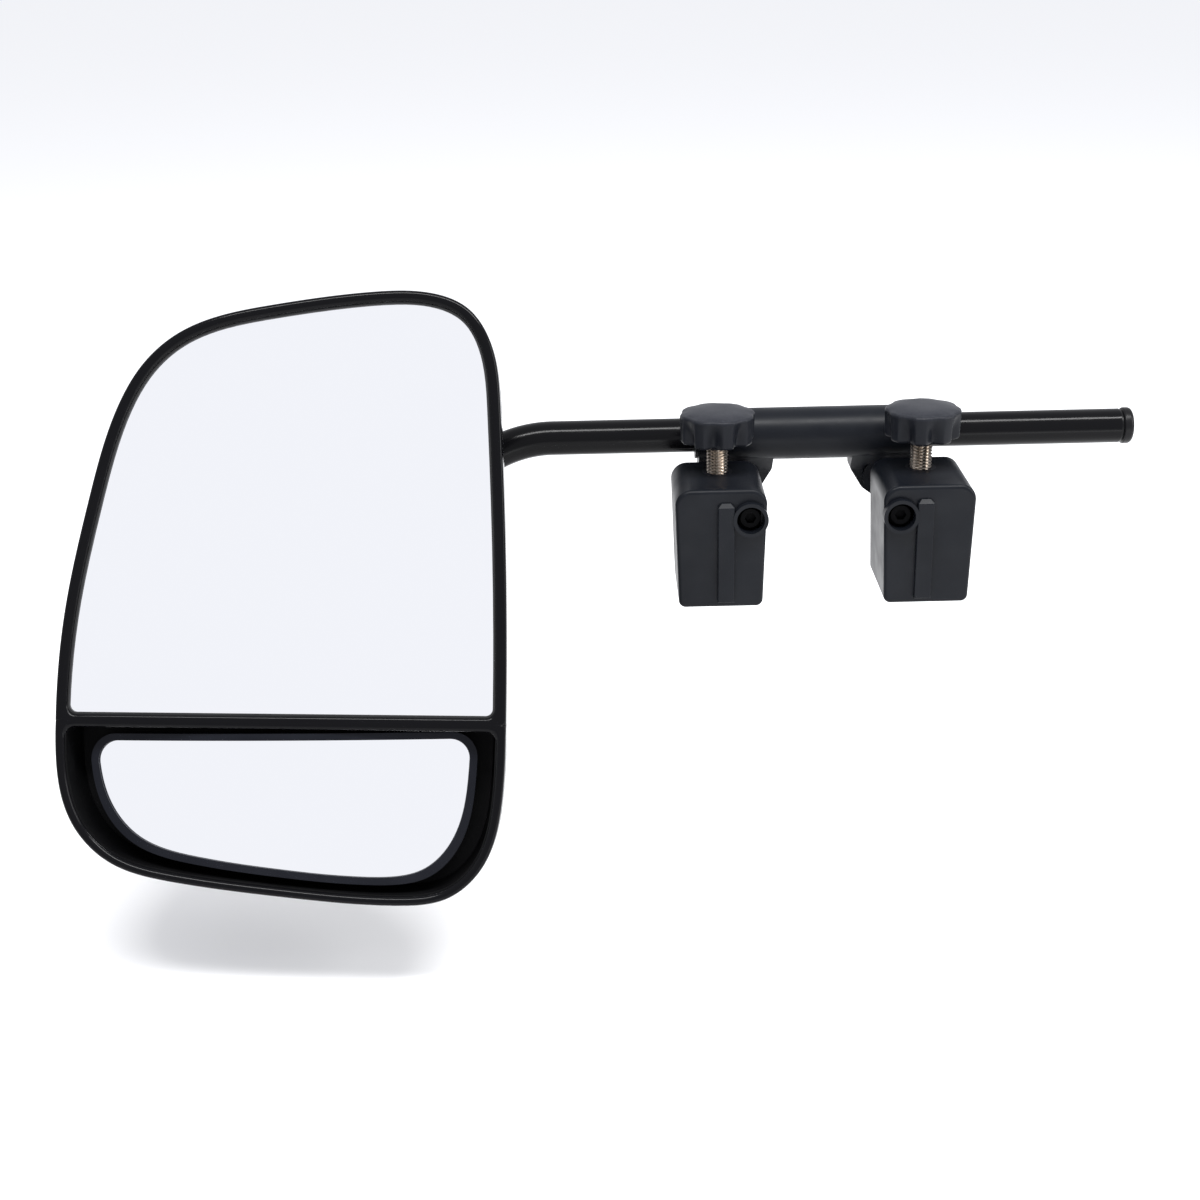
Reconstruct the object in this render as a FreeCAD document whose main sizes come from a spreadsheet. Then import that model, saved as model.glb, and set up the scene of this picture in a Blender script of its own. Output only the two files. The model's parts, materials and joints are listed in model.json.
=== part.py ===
"""Clamp-on towing mirror: a headed arm that slides and turns in a bridge with two screw-down jaw clamps.

Two design frames are used, both with X along the arm and +Z up. The bridge frame has its origin on the arm's
axis, midway between the two clamps. The arm frame shares that origin and is turned about the arm's axis, so
that the glass looks up and back. The finished model's origin is the face of the left fixed jaw pad.
"""

import FreeCAD
import Part
import Sketcher

import math
import os
import re

SIZES = {
    # arm
    "tube_dia": 16.0,
    "tube_wall": 1.5,
    "tube_end_x": 144.0,
    "bend_x": -142.0,
    "bend_radius": 60.0,
    "plug_dia": 17.0,
    "plug_flange": 6.0,
    "plug_stem": 16.0,
    "rest_turn": 22.0,
    "sleeve_dia": 22.0,
    "neck_dia": 11.2,
    "knuckle_pin_dia": 4.0,
    "knuckle_pin_back": 16.0,
    # ball joint and head
    "ball_x": -240.0,
    "ball_y": -40.0,
    "ball_z": -74.0,
    "ball_dia": 24.0,
    "cup_dia": 30.0,
    "head_wall": 2.5,
    "bezel_depth": 10.0,
    "rim_width": 5.0,
    "glass_thickness": 3.0,
    "spot_ball_dia": 10.0,
    "spot_cup_dia": 14.0,
    "spot_radius": 420.0,
    # bridge
    "clamp_spacing": 93.0,
    "bridge_length": 107.0,
    "bridge_dia": 24.4,
    "liner_dia": 18.4,
    "liner_length": 26.0,
    "rod_offset": 13.0,
    "rod_drop": 22.0,
    "rod_dia": 9.0,
    "rod_pin_dia": 3.0,
    "rod_pin_length": 18.0,
    "ramp_screw_dia": 6.0,
    "pad_drop": 60.0,
    "pad_width": 32.0,
    "pad_height": 20.0,
    "pad_thick": 5.0,
    "pad_face": 4.0,
    "stem_dia": 5.2,
    "stem_length": 5.0,
    "jaw_pad_drop": 53.0,
    # moving jaws
    "jaw_top": 8.5,
    "jaw_foot": 64.4,
    "jaw_back": 15.4,
    "jaw_depth": 39.0,
    "jaw_width": 41.6,
    "jaw_foot_width": 38.0,
    "jaw_wall": 2.5,
    "cover_thick": 3.2,
    "boss_dia": 15.8,
    "boss_bore": 12.5,
    "stud_y": 29.5,
    "stud_dia": 10.0,
    "stud_foot": 61.6,
    "rod_bush_dia": 11.6,
    "stud_bush_dia": 14.0,
    "nut_dia": 13.2,
    "knob_dia": 34.4,
    "knob_low": 5.9,
    "knob_height": 15.0,
    "flute_radius": 14.3,
    "flute_depth": 2.2,
    "wedge_width": 31.2,
    "wedge_height": 14.0,
    "wedge_slope": 0.7,
    "wedge_foot": 61.0,
    "fit_gap": 0.05,
    "slide_gap": 0.3,
}

LOBES = 8
KNOB_TURN = -10.0
SOCKET_SCREWS = 3
PAN_WALL = 1.5
STEM_PLACES = (-11, 11)
RIB_PLACES = (-10, 0, 10)

doc = FreeCAD.newDocument("towing_mirror")
sheet = doc.addObject("Spreadsheet::Sheet", "sizes")
for line, (alias, value) in enumerate(SIZES.items(), start=1):
    sheet.set(f"A{line}", alias)
    sheet.set(f"B{line}", str(value))
    sheet.setAlias(f"B{line}", alias)
doc.recompute()

V = FreeCAD.Vector
X_AXIS = V(1, 0, 0)
Y_AXIS = V(0, 1, 0)
Z_AXIS = V(0, 0, 1)
ALONG = {
    "x": FreeCAD.Rotation(Y_AXIS, 90),
    "y": FreeCAD.Rotation(X_AXIS, -90),
    "z": FreeCAD.Rotation(),
}
nodes = []


def size(alias):
    """One driving dimension, read from the sheet."""
    return getattr(sheet, alias)


def bind(item, field, formula):
    """Bind a field of an object to a formula over the sheet's aliases."""
    text = re.sub(r"[a-z_]+", lambda word: f"sizes.{word[0]}" if word[0] in SIZES else word[0], str(formula))
    item.setExpression(field, text)


# ---------------------------------------------------------------- building blocks


def primitive(kind, name, corner, turn, fields):
    """A Part primitive whose place and sizes are formulas."""
    item = doc.addObject("Part::" + kind, name)
    item.Placement = FreeCAD.Placement(V(), turn)
    for axis, formula in zip("xyz", corner):
        bind(item, "Placement.Base." + axis, formula)
    for field, formula in fields.items():
        bind(item, field, formula)
    return item


def block(name, corner, lengths):
    """A box from its lowest corner and its three lengths."""
    return primitive("Box", name, corner, ALONG["z"], dict(zip(("Length", "Width", "Height"), lengths)))


def cylinder(name, start, axis, radius, length):
    """A cylinder that starts at a point and runs along +x, +y or +z."""
    return primitive("Cylinder", name, start, ALONG[axis], {"Radius": radius, "Height": length})


def fuse(name, *pieces):
    """Several shapes joined in one solid."""
    item = doc.addObject("Part::MultiFuse", name)
    item.Shapes = list(pieces)
    item.Refine = True
    return item


def cut(name, base, *tools):
    """A shape with others taken away."""
    item = doc.addObject("Part::Cut", name)
    item.Base = base
    item.Tool = tools[0] if len(tools) == 1 else fuse(name + "_tools", *tools)
    return item


def common(name, first, second):
    """What two shapes share."""
    item = doc.addObject("Part::Common", name)
    item.Base = first
    item.Tool = second
    return item


def group(name, pieces):
    """Like pieces kept as separate solids in one node."""
    item = doc.addObject("Part::Compound", name)
    item.Links = list(pieces)
    return item


def plane_of(body, role):
    """One of a body's own origin planes."""
    return next(item for item in body.Origin.OriginFeatures if item.Role == role)


def sketch_on(body, role, offset="0"):
    """An empty sketch on an origin plane of its body, moved along the plane's normal."""
    sketch = body.newObject("Sketcher::SketchObject", body.Name + "_sketch")
    sketch.AttachmentSupport = [(plane_of(body, role), "")]
    sketch.MapMode = "FlatFace"
    bind(sketch, "AttachmentOffset.Base.z", offset)
    return sketch


def add_polygon(sketch, corners):
    """A closed polygon whose every corner is held by two formulas."""
    count = len(corners)
    doc.recompute()
    probe = [V(value_of(across), value_of(up), 0) for across, up in corners]
    for index in range(count):
        sketch.addGeometry(Part.LineSegment(probe[index], probe[(index + 1) % count]), False)
    for index in range(count):
        constrain(sketch, ("Coincident", index, 2, (index + 1) % count, 1))
    for index, (across, up) in enumerate(corners):
        held = (("DistanceX", across, probe[index].x), ("DistanceY", up, probe[index].y))
        for kind, formula, now in held:
            number = constrain(sketch, (kind, -1, 1, index, 1, now))
            bind(sketch, f"Constraints[{number}]", formula)


def value_of(formula):
    """The present value of a formula over the sheet."""
    return float(sheet.evalExpression(str(formula)))


def constrain(sketch, fields):
    """Add one constraint and give its number."""
    return sketch.addConstraint(Sketcher.Constraint(*fields))


def prism(name, role, offset, corners, depth):
    """A polygon on an origin plane, padded along the plane's normal."""
    body = doc.addObject("PartDesign::Body", name)
    sketch = sketch_on(body, role, offset)
    add_polygon(sketch, corners)
    pad = body.newObject("PartDesign::Pad", name + "_pad")
    pad.Profile = sketch
    bind(pad, "Length", depth)
    doc.recompute()
    return body


def round_edges(body, radius, chosen, kind="Fillet"):
    """Fillet or chamfer the edges of a body's tip that the test picks."""
    tip = body.Tip
    picked = [f"Edge{number}" for number, edge in enumerate(tip.Shape.Edges, start=1) if chosen(edge)]
    feature = body.newObject("PartDesign::" + kind, f"{body.Name}_{kind.lower()}_{len(body.Group)}")
    feature.Base = (tip, picked)
    bind(feature, "Radius" if kind == "Fillet" else "Size", radius)
    body.Tip = feature
    doc.recompute()
    return body


def runs_along(edge, axis):
    """Is this a straight edge along the axis?"""
    if len(edge.Vertexes) < 2:
        return False
    span = edge.Vertexes[1].Point - edge.Vertexes[0].Point
    return abs(abs(span.dot(axis)) - edge.Length) < 0.001


def all_at(edge, axis, place):
    """Does the whole edge lie in the plane at this place along the axis?"""
    box = edge.BoundBox
    low = V(box.XMin, box.YMin, box.ZMin).dot(axis)
    high = V(box.XMax, box.YMax, box.ZMax).dot(axis)
    return abs(low - place) < 0.01 and abs(high - place) < 0.01


def turned(name, role, corners, axis_role="Z_Axis"):
    """A polygon on an origin plane, turned a full circle about an origin axis."""
    body = doc.addObject("PartDesign::Body", name)
    sketch = sketch_on(body, role)
    add_polygon(sketch, corners)
    turn = body.newObject("PartDesign::Revolution", name + "_turn")
    turn.Profile = sketch
    turn.ReferenceAxis = (plane_of(body, axis_role), [""])
    turn.Angle = 360
    doc.recompute()
    return body


def feature(name, shape):
    """A shape made with Part's own functions, as an object of the document."""
    item = doc.addObject("Part::Feature", name)
    item.Shape = shape
    return item


# ---------------------------------------------------------------- placing the nodes


def origin_shift():
    """From the bridge frame to the finished model's frame."""
    return V(size("clamp_spacing") / 2, size("pad_face"), size("pad_drop"))


def place(item, label, frame="bridge", at=None):
    """Give a finished piece its label and its place, and hand it out as a node."""
    shift = origin_shift() + (at or V())
    turn = FreeCAD.Rotation()
    if frame == "arm":
        turn = FreeCAD.Rotation(X_AXIS, -size("rest_turn"))
        shift = origin_shift() + turn.multVec(at or V())
    item.Placement = FreeCAD.Placement(shift, turn)
    item.Label = label
    nodes.append(item)
    return item


def pair(item, name):
    """The left clamp's piece, and its mirror image in the right clamp."""
    place(item, name + "_left", at=V(-size("clamp_spacing") / 2, 0, 0))
    twin = doc.addObject("Part::Mirroring", name + "_twin")
    twin.Source = item
    twin.Normal = X_AXIS
    bind(twin, "Base.x", "clamp_spacing / 2")
    twin.Label = name + "_right"
    nodes.append(twin)


# ---------------------------------------------------------------- arm


def arm_path():
    """The arm's centre line: a straight run, one bend and a run down to the ball joint."""
    start = V(size("tube_end_x"), 0, 0)
    corner = V(size("bend_x"), 0, 0)
    end = V(size("ball_x"), 0, size("ball_z"))
    before = (start - corner).normalize()
    after = (end - corner).normalize()
    half_turn = (math.pi - before.getAngle(after)) / 2
    reach = size("bend_radius") * math.tan(half_turn)
    enter = corner + before * reach
    leave = corner + after * reach
    inward = (before + after).normalize()
    centre = corner + inward * (size("bend_radius") / math.cos(half_turn))
    middle = centre - inward * size("bend_radius")
    return Part.Wire([
        Part.LineSegment(start, enter).toShape(),
        Part.Arc(enter, middle, leave).toShape(),
        Part.LineSegment(leave, end).toShape(),
    ])


def swept_round(path, radius):
    """A round bar along the arm's path."""
    start = path.Edges[0].valueAt(path.Edges[0].FirstParameter)
    ring = Part.Wire(Part.makeCircle(radius, start, X_AXIS))
    return path.makePipeShell([ring], True, False)


def make_arm():
    """The bent steel tube, its end plug, the knuckle with the ball, and the knuckle's pin."""
    path = arm_path()
    radius = size("tube_dia") / 2
    tube = swept_round(path, radius).cut(swept_round(path, radius - size("tube_wall")))
    run_end = V(size("ball_x"), 0, size("ball_z"))
    run = (run_end - V(size("bend_x"), 0, 0)).normalize()
    pin_at = run_end - run * size("knuckle_pin_back")
    pin_radius = size("knuckle_pin_dia") / 2
    across = run.cross(Y_AXIS)
    pin_hole = Part.makeCylinder(pin_radius, 30, pin_at - across * 15, across)
    place(feature("tube", tube.cut(pin_hole)), "arm_tube", "arm")

    sleeve = Part.makeCylinder(size("sleeve_dia") / 2, 28, run_end - run * 26, run)
    sleeve = sleeve.fuse(Part.makeSphere(size("sleeve_dia") / 2, run_end + run * 2))
    bore = Part.makeCylinder(radius, 26, run_end - run * 26, run)
    neck_length = -size("ball_y") - 6
    neck_radius = size("neck_dia") / 2
    neck = Part.makeCone(9.5, neck_radius, neck_length, run_end + run * 2, V(0, -1, 0))
    centre = V(size("ball_x"), size("ball_y"), size("ball_z"))
    shank = Part.makeCylinder(neck_radius, -size("ball_y"), V(centre.x, 0, centre.z), V(0, -1, 0))
    globe = Part.makeSphere(size("ball_dia") / 2, centre)
    knuckle = sleeve.fuse([neck, shank, globe]).cut(bore).cut(pin_hole).removeSplitter()
    place(feature("knuckle", knuckle), "ball_knuckle", "arm")

    pin = Part.makeCylinder(pin_radius, 22, pin_at - across * 11, across)
    place(feature("pin", pin), "knuckle_pin", "arm")

    plug = turned("plug", "XZ_Plane", [
        ("tube_end_x - plug_stem", "0"), ("tube_end_x + plug_flange", "0"),
        ("tube_end_x + plug_flange", "plug_dia / 2"), ("tube_end_x + 0.4", "plug_dia / 2"),
        ("tube_end_x + 0.4", "plug_dia / 2 - 1"), ("tube_end_x", "plug_dia / 2 - 1"),
        ("tube_end_x", "tube_dia / 2 - tube_wall"),
        ("tube_end_x - plug_stem", "tube_dia / 2 - tube_wall - 0.6"),
    ], "X_Axis")
    outer = size("tube_end_x") + size("plug_flange")
    round_edges(plug, 1.8, lambda edge: all_at(edge, X_AXIS, outer) and edge.Length > 10)
    place(plug, "end_plug", "arm")


# ---------------------------------------------------------------- bridge


def make_bridge():
    """The bored bar with its two legs, and the tube's friction liners."""
    bar = cylinder("bar", ("-bridge_length / 2", 0, 0), "x", "bridge_dia / 2", "bridge_length")
    left = leg()
    right = doc.addObject("Part::Mirroring", "leg_twin")
    right.Source = left
    right.Normal = X_AXIS
    whole = fuse("bridge_whole", bar, left, right)
    whole.Refine = False
    bore_radius = "liner_dia / 2 + fit_gap"
    bore = cylinder("bridge_bore", ("-bridge_length / 2", 0, 0), "x", bore_radius, "bridge_length")
    place(cut("bridge", whole, bore), "bridge_bar")

    flange = "bridge_dia / 2 - 1.2"
    for side, way, sign in (("left", -1, "-"), ("right", 1, "")):
        end = f"{sign}bridge_length / 2"
        profile = [
            (f"{end} - {way} * liner_length", "tube_dia / 2 + fit_gap"),
            (f"{end} + {way} * 1.8", "tube_dia / 2 + fit_gap"), (f"{end} + {way} * 1.8", flange),
            (f"{end} + {way} * slide_gap", flange), (f"{end} + {way} * slide_gap", "liner_dia / 2"),
            (f"{end} - {way} * liner_length", "liner_dia / 2"),
        ]
        place(turned("liner_" + side, "XZ_Plane", profile, "X_Axis"), "tube_liner_" + side)


def leg():
    """The left leg: what a front and a side outline share, with a boss for the guide rod and ribs behind."""
    front = prism("leg_front", "XZ_Plane", "-14", [
        ("-7", "-4"), ("28", "-4"), ("28", "-18"), ("22", "-28"), ("14", "-34"), ("14", "-71"),
        ("-14", "-71"), ("-14", "-40"), ("-7", "-26"),
    ], "28")
    round_edges(front, "6", lambda edge: runs_along(edge, Y_AXIS) and edge.CenterOfMass.z < -12)
    profile = prism("leg_side", "YZ_Plane", "-30", [
        ("-8", "-4"), ("9", "-4"), ("10", "-24"), ("9", "-71"), ("1", "-71"), ("1", "-19"), ("-8", "-9"),
    ], "60")
    round_edges(profile, "3", lambda edge: runs_along(edge, X_AXIS) and -20 < edge.CenterOfMass.z < -8)
    boss = cylinder("leg_boss", ("rod_offset", "-2", "-rod_drop"), "y", "9", "14")
    ribs = [
        block(f"leg_rib_{number}", (f"{step} - 1.5", "8", "-67"), ("3", "4.5", "35"))
        for number, step in enumerate(RIB_PLACES)
    ]
    solid = fuse("leg_whole", common("leg_plate", front, profile), boss, *ribs)
    holes = [
        cylinder("rod_seat", ("rod_offset", "-3", "-rod_drop"), "y", "rod_dia / 2", "16"),
        cylinder("pin_seat", ("rod_offset - rod_pin_length / 2", "6", "-rod_drop"), "x",
                 "rod_pin_dia / 2", "rod_pin_length"),
    ]
    holes += stems("stem_seat", "1", "pad_drop")
    cut_leg = cut("leg_bored", solid, *holes)
    bind(cut_leg, "Placement.Base.x", "-clamp_spacing / 2")
    return cut_leg


def stems(name, start, drop):
    """The two round stems that hold a rubber pad."""
    return [
        cylinder(f"{name}_{number}", (step, start, "-" + drop), "y", "stem_dia / 2", "stem_length")
        for number, step in enumerate(STEM_PLACES)
    ]


def rubber_pad(name, back, width, drop):
    """A rubber pad with rounded corners, padded towards -y from its back."""
    body = prism(name + "_body", "XZ_Plane", back, [
        (f"-{width} / 2", f"-{drop} - pad_height / 2"), (f"{width} / 2", f"-{drop} - pad_height / 2"),
        (f"{width} / 2", f"-{drop} + pad_height / 2"), (f"-{width} / 2", f"-{drop} + pad_height / 2"),
    ], "pad_thick")
    round_edges(body, "5", lambda edge: runs_along(edge, Y_AXIS))
    return body


def make_fixed_jaws():
    """Each fixed jaw: rubber pad, guide rod with its pin, and the forked ramp with its screw."""
    body = rubber_pad("fixed_pad", "pad_face - pad_thick", "pad_width", "pad_drop")
    round_edges(body, "1", lambda edge: all_at(edge, Y_AXIS, -4))
    pair(fuse("fixed_pad", body, *stems("fixed_stem", "1", "pad_drop")), "fixed_jaw_pad")

    ramp_back = "-47.7"
    rod = cylinder("rod", ("rod_offset", ramp_back, "-rod_drop"), "y", "rod_dia / 2", "59.7")
    pin_start = ("rod_offset - rod_pin_length / 2", "6", "-rod_drop")
    rod_holes = [
        cylinder("rod_pin_hole", pin_start, "x", "rod_pin_dia / 2", "rod_pin_length"),
        cylinder("rod_thread", ("rod_offset", ramp_back, "-rod_drop"), "y", "ramp_screw_dia / 2", "12"),
    ]
    pair(cut("rod_cut", rod, *rod_holes), "guide_rod")
    pin = cylinder("rod_pin_bar", pin_start, "x", "rod_pin_dia / 2", "rod_pin_length")
    pair(group("rod_pin_alone", [pin]), "rod_pin")

    side = prism("ramp_side", "YZ_Plane", "-wedge_width / 2", [
        ("-53", "-51"), ("-32.3", "-51"), ("-40.7", "-39"), ("-53", "-39"),
    ], "wedge_width")
    fork = block("ramp_fork", ("-8.7", "-49.5", "-52"), ("17.4", "20", "14"))
    window = block("ramp_window", ("-8.7", "-54", "-45"), ("17.4", "10", "8"))
    arm = block("ramp_arm", ("8.7", "-53", "-40"), ("7.4", "5.3", "14"))
    eye = block("ramp_eye", ("8.7", "-53", "-27"), ("8.6", "5.3", "11"))
    hole = cylinder("ramp_hole", ("rod_offset", "-54", "-rod_drop"), "y", "ramp_screw_dia / 2", "8")
    ramp = cut("ramp", fuse("ramp_whole", cut("ramp_forked", side, fork, window), arm, eye), hole)
    pair(ramp, "pull_ramp")

    head = cylinder("ramp_screw_head", ("rod_offset", "-57", "-rod_drop"), "y", "4.4", "4")
    shank = cylinder("ramp_screw_shank", ("rod_offset", "-53", "-rod_drop"), "y", "ramp_screw_dia / 2", "16")
    socket = prism("ramp_screw_socket", "XZ_Plane", "57 - 2.5", [
        (f"rod_offset + {round(2.6 * math.cos(step * math.pi / 3), 3)}",
         f"-rod_drop + {round(2.6 * math.sin(step * math.pi / 3), 3)}") for step in range(6)
    ], "3")
    pair(cut("ramp_screw", fuse("ramp_screw_whole", head, shank), socket), "ramp_screw")


# ---------------------------------------------------------------- moving jaws


def jaw_outline(inset):
    """The jaw's front outline, narrower at its foot, moved inwards all round."""
    return [
        (f"-jaw_width / 2 + {inset}", f"-jaw_top - {inset}"),
        (f"jaw_width / 2 - {inset}", f"-jaw_top - {inset}"),
        (f"jaw_foot_width / 2 - {inset}", f"-jaw_foot + {inset}"),
        (f"-jaw_foot_width / 2 + {inset}", f"-jaw_foot + {inset}"),
    ]


def jaw_block(name, start, depth, inset, top_radius, foot_radius):
    """A prism of the jaw's outline with its long edges rounded."""
    body = prism(name, "XZ_Plane", start, jaw_outline(inset), depth)
    middle = -(size("jaw_top") + size("jaw_foot")) / 2
    round_edges(body, top_radius, lambda edge: runs_along(edge, Y_AXIS) and edge.CenterOfMass.z > middle)
    round_edges(body, foot_radius, lambda edge: runs_along(edge, Y_AXIS) and edge.CenterOfMass.z < middle)
    return body


def make_moving_jaws():
    """Each moving jaw: housing, front cover, guide bush, stud bush and rubber pad."""
    outer = jaw_block("jaw_outer", "jaw_back", "jaw_depth", "0", "7.4", "3.2")
    hollow = jaw_block("jaw_hollow", "jaw_back + jaw_wall", "jaw_depth", "jaw_wall", "4.9", "1")
    bush_boss = cylinder("bush_boss", ("rod_offset", "-23.4", "-rod_drop"), "y", "7.2", "7")
    holes = [
        cylinder("bush_seat", ("rod_offset", "-24", "-rod_drop"), "y", "rod_bush_dia / 2", "10"),
        cylinder("stud_bush_seat", ("0", "-stud_y", "-jaw_top - jaw_wall - 1"), "z",
                 "stud_bush_dia / 2", "5"),
    ]
    holes += stems("jaw_stem_seat", "-jaw_back - jaw_wall", "jaw_pad_drop")
    shell = cut("jaw_shell", outer, hollow)
    pair(cut("jaw_housing", fuse("jaw_bossed", shell, bush_boss), *holes), "jaw_housing")

    cover_start = "jaw_back + jaw_depth"
    plate = jaw_block("cover_plate", cover_start, "cover_thick", "0", "7.4", "3.2")
    front = -value_of("jaw_back + jaw_depth + cover_thick")
    round_edges(plate, "1.8", lambda edge: all_at(edge, Y_AXIS, front))
    rib = prism("cover_rib", "XZ_Plane", f"{cover_start} + 1", [
        ("-1.6", "-61.2"), ("5.8", "-61.2"), ("5.8", "-14.4"), ("-1.6", "-14.4"),
    ], "cover_thick + 1.6")
    rib_top = -14.4
    round_edges(rib, "1.8", lambda edge: all_at(edge, Z_AXIS, rib_top) and edge.CenterOfMass.y < front,
                "Chamfer")
    rib_front = front - 2.6
    round_edges(rib, "0.5", lambda edge: all_at(edge, Y_AXIS, rib_front))
    boss = cylinder("cover_boss", ("rod_offset", "-jaw_back - jaw_depth - cover_thick - 3", "-rod_drop"), "y",
                    "boss_dia / 2", "cover_thick + 2")
    bore = cylinder("cover_bore", ("rod_offset", "-65", "-rod_drop"), "y", "boss_bore / 2", "14")
    pair(cut("cover", fuse("cover_whole", plate, rib, boss), bore), "jaw_cover")

    bush = cylinder("bush_outer", ("rod_offset", "-23.4", "-rod_drop"), "y", "rod_bush_dia / 2", "8")
    bush_hole = cylinder("bush_hole", ("rod_offset", "-24", "-rod_drop"), "y", "rod_dia / 2 + fit_gap", "10")
    pair(cut("bush", bush, bush_hole), "rod_bush")

    sleeve = cylinder("stud_sleeve", ("0", "-stud_y", "-jaw_top - jaw_wall"), "z",
                      "stud_bush_dia / 2", "jaw_wall")
    sleeve_hole = cylinder("stud_sleeve_hole", ("0", "-stud_y", "-14"), "z", "stud_dia / 2 + fit_gap", "8")
    pair(cut("stud_sleeve_cut", sleeve, sleeve_hole), "stud_bush")

    pad = rubber_pad("jaw_pad", "jaw_back - pad_thick", "pad_width", "jaw_pad_drop")
    round_edges(pad, "1", lambda edge: all_at(edge, Y_AXIS, -size("jaw_back") + size("pad_thick")))
    pair(fuse("jaw_pad", pad, *stems("jaw_stem", "-jaw_back - jaw_wall", "jaw_pad_drop")), "moving_jaw_pad")


def make_screws():
    """Each clamp's knob, threaded stud, thrust collar and washer, and the wedge with its brass nut."""
    knob = turned("knob", "XZ_Plane", [
        ("0", "knob_low - 2"), ("8", "knob_low - 2"), ("8", "knob_low"), ("knob_dia / 2", "knob_low"),
        ("knob_dia / 2", "knob_low + knob_height - 0.8"), ("0", "knob_low + knob_height"),
    ])
    sketch = sketch_on(knob, "XY_Plane", "knob_low - 1")
    radius = size("flute_radius")
    middle = round(value_of("knob_dia / 2 - flute_depth + flute_radius"), 2)
    number = sketch.addGeometry(Part.Circle(V(middle, 0, 0), Z_AXIS, radius))
    bind(sketch, f"Constraints[{constrain(sketch, ('Radius', number, radius))}]", "flute_radius")
    across = constrain(sketch, ("DistanceX", -1, 1, number, 3, middle))
    bind(sketch, f"Constraints[{across}]", "knob_dia / 2 - flute_depth + flute_radius")
    constrain(sketch, ("DistanceY", -1, 1, number, 3, 0))
    flute = knob.newObject("PartDesign::Pocket", "flute")
    flute.Profile = sketch
    flute.Type = "ThroughAll"
    flute.Reversed = True
    doc.recompute()
    ring = knob.newObject("PartDesign::PolarPattern", "flutes")
    ring.Originals = [flute]
    ring.Axis = (plane_of(knob, "Z_Axis"), [""])
    ring.Angle = 360
    ring.Occurrences = LOBES
    knob.Tip = ring
    doc.recompute()
    stud_seat = cylinder("stud_seat", ("0", "0", "knob_low - 3"), "z", "stud_dia / 2", "11")
    whole = cut("knob_bored", knob, stud_seat)
    whole.Placement.Rotation = FreeCAD.Rotation(Z_AXIS, KNOB_TURN)
    bind(whole, "Placement.Base.y", "-stud_y")
    pair(group("knob_alone", [whole]), "knob")

    stud_length = "stud_foot + knob_low + 8"
    stud = cylinder("stud_bar", ("0", "-stud_y", "-stud_foot"), "z", "stud_dia / 2", stud_length)
    pair(group("stud_alone", [chamfered(stud, "0.8")]), "stud")
    collar = cylinder("collar_ring", ("0", "-stud_y", "-16.6"), "z", "8", "4")
    collar_hole = cylinder("collar_hole", ("0", "-stud_y", "-17"), "z", "stud_dia / 2", "6")
    pair(cut("collar", collar, collar_hole), "thrust_collar")
    washer = cylinder("washer_ring", ("0", "-stud_y", "-12.5"), "z", "9", "1.4")
    washer_hole = cylinder("washer_hole", ("0", "-stud_y", "-13"), "z", "stud_dia / 2 + fit_gap", "3")
    pair(cut("washer", washer, washer_hole), "thrust_washer")


def chamfered(item, width):
    """A solid with every round edge of its ends chamfered."""
    doc.recompute()
    done = doc.addObject("Part::Chamfer", item.Name + "_chamfer")
    done.Base = item
    width = float(width)
    done.Edges = [
        (number, width, width) for number, edge in enumerate(item.Shape.Edges, start=1)
        if isinstance(edge.Curve, Part.Circle)
    ]
    return done


def make_wedges():
    """Each clamp's wedge, which rides up and down the stud, and its brass nut."""
    top = "-wedge_foot + wedge_height"
    back = "-jaw_back - jaw_wall - slide_gap"
    slope = prism("wedge_slope_body", "YZ_Plane", "-wedge_width / 2", [
        (back, "-wedge_foot"), (back, top), ("-25 - wedge_height * wedge_slope", top), ("-25", "-wedge_foot"),
    ], "wedge_width")
    middle = block("wedge_middle", ("-8.3", "-36.8", "-wedge_foot"), ("16.6", "18.6", "wedge_height"))
    seat = cylinder("nut_seat", ("0", "-stud_y", "-wedge_foot - 1"), "z", "nut_dia / 2", "wedge_height + 2")
    pair(cut("wedge", fuse("wedge_whole", slope, middle), seat), "wedge")
    nut = cylinder("nut_outer", ("0", "-stud_y", "-wedge_foot"), "z", "nut_dia / 2", "wedge_height")
    thread = cylinder("nut_thread", ("0", "-stud_y", "-wedge_foot - 1"), "z", "stud_dia / 2 + fit_gap",
                      "wedge_height + 2")
    pair(cut("nut", nut, thread), "wedge_nut")


# ---------------------------------------------------------------- head
# These pieces are worked out about the arm ball's centre, y towards the back.

OUTLINE = [
    (-97.7, -52), (-92.5, -2), (-81, 46), (-67, 87), (-57, 103), (-42, 116),
    (0, 128), (45, 132.7), (68, 131.7), (84, 125), (94.5, 108),
    (97.6, 82), (98.3, 0), (96.7, -60), (94, -92), (86, -116),
    (70, -130), (48, -132.7), (0, -128), (-50, -120), (-76, -111), (-91, -95),
]
RIM_Y = -32.0
RIM_LIP = 1.8
WELL_FLOOR = -10.0
SOCKET_RING = 25.0
DIVIDER_TOP = ((-86, -46.8), (88, -52.6))
DIVIDER_FOOT = ((-86, -52.2), (88, -58.6))
SPOT_TOP = ((-73, -59.0), (75, -61.7))
SHELL_SCREWS = [(-56, 78), (58, 108), (72, 0), (-72, 0), (0, -42)]
SPOT_PIVOT = V(0, -16, -88)
HEAD_REACH = (98, 131)
SHELL_BULGE = [(5, 0.2), (10, 0.9), (15, 2.3), (20, 5.0), (24, 9.5), (27.5, 17), (30, 32)]


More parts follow.
